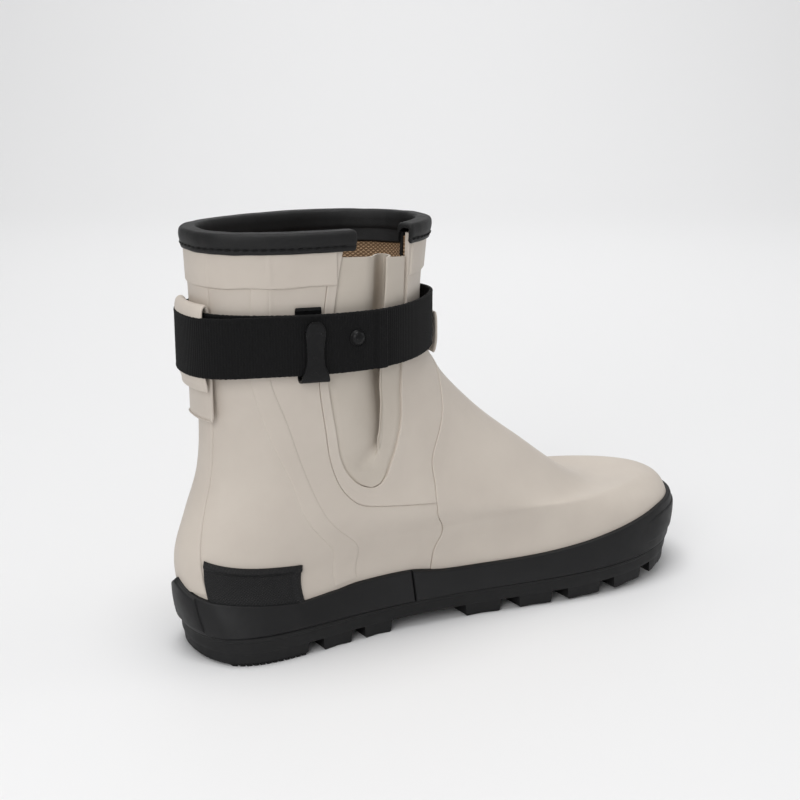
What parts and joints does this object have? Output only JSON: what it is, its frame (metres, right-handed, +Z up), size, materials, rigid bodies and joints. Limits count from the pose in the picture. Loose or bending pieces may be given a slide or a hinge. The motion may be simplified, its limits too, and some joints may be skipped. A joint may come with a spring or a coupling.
{
  "type": "rubber rain boot",
  "caption": "Short right-foot rubber rain boot with pleated side gusset, bound collar, webbing strap with sliding metal hook, lifting footbed and lugged sole.",
  "frame": {"origin": "centre of the boot's box, on the ground under the tread", "axes": "+X from heel to toe, -Y the outer (lateral) side, +Z up"},
  "size_m": [0.2978, 0.0988, 0.2063],
  "materials": {
    "upper_rubber": "matte warm beige natural rubber",
    "gusset_cloth": "thin matte rubber-coated fabric",
    "black_rubber": "matte black rubber",
    "webbing": "ribbed black polyester webbing",
    "binding": "matte black leather-look binding",
    "thread": "black sewing thread",
    "lining_knit": "tan knitted mesh",
    "facing": "smooth black tape",
    "black_metal": "satin black coated steel",
    "steel": "plain steel",
    "fibre_board": "pressed fibre board",
    "stiffener": "rubberised canvas",
    "filler_foam": "sponge rubber",
    "footbed_cloth": "cloth-topped foam"
  },
  "bodies": {
    "boot": {"outsole": "black_rubber", "midsole_filler": "filler_foam", "shank": "steel", "insole_board": "fibre_board", "foxing_rear": "black_rubber", "foxing_front": "black_rubber", "toe_bumper": "black_rubber", "heel_spur": "black_rubber", "heel_patch_lateral": "black_rubber", "heel_patch_medial": "black_rubber", "vamp": "upper_rubber", "front_panel": "upper_rubber", "quarter_lateral": "upper_rubber", "quarter_medial": "upper_rubber", "gusset": "gusset_cloth", "backstay": "upper_rubber", "side_band_lateral": "upper_rubber", "side_band_medial": "upper_rubber", "collar_band": "upper_rubber", "heel_counter": "stiffener", "toe_puff": "stiffener", "lining_foot": "lining_knit", "lining_shaft": "lining_knit", "collar_facing": "facing", "collar_binding": "binding", "binding_stitching": "thread", "heel_loop": "upper_rubber", "front_loop": "upper_rubber", "strap_inner": "webbing", "strap_tail": "webbing", "rivet_cap": "black_metal", "rivet_post": "steel", "rivet_burr": "steel"},
    "hook": {"strap_hook": "black_metal"},
    "footbed": {"footbed": "footbed_cloth"}
  },
  "joints": [
    {"name": "hook_slide", "type": "slide", "parent": "boot", "child": "hook", "axis": [0.9703, -0.2417, 0], "range_m": [-0.005, 0.005]},
    {"name": "footbed_lift", "type": "hinge", "parent": "boot", "child": "footbed", "pos_m": [0.1358, 0, 0.025], "axis": [0, 1, 0], "range_deg": [0, 4]}
  ]
}
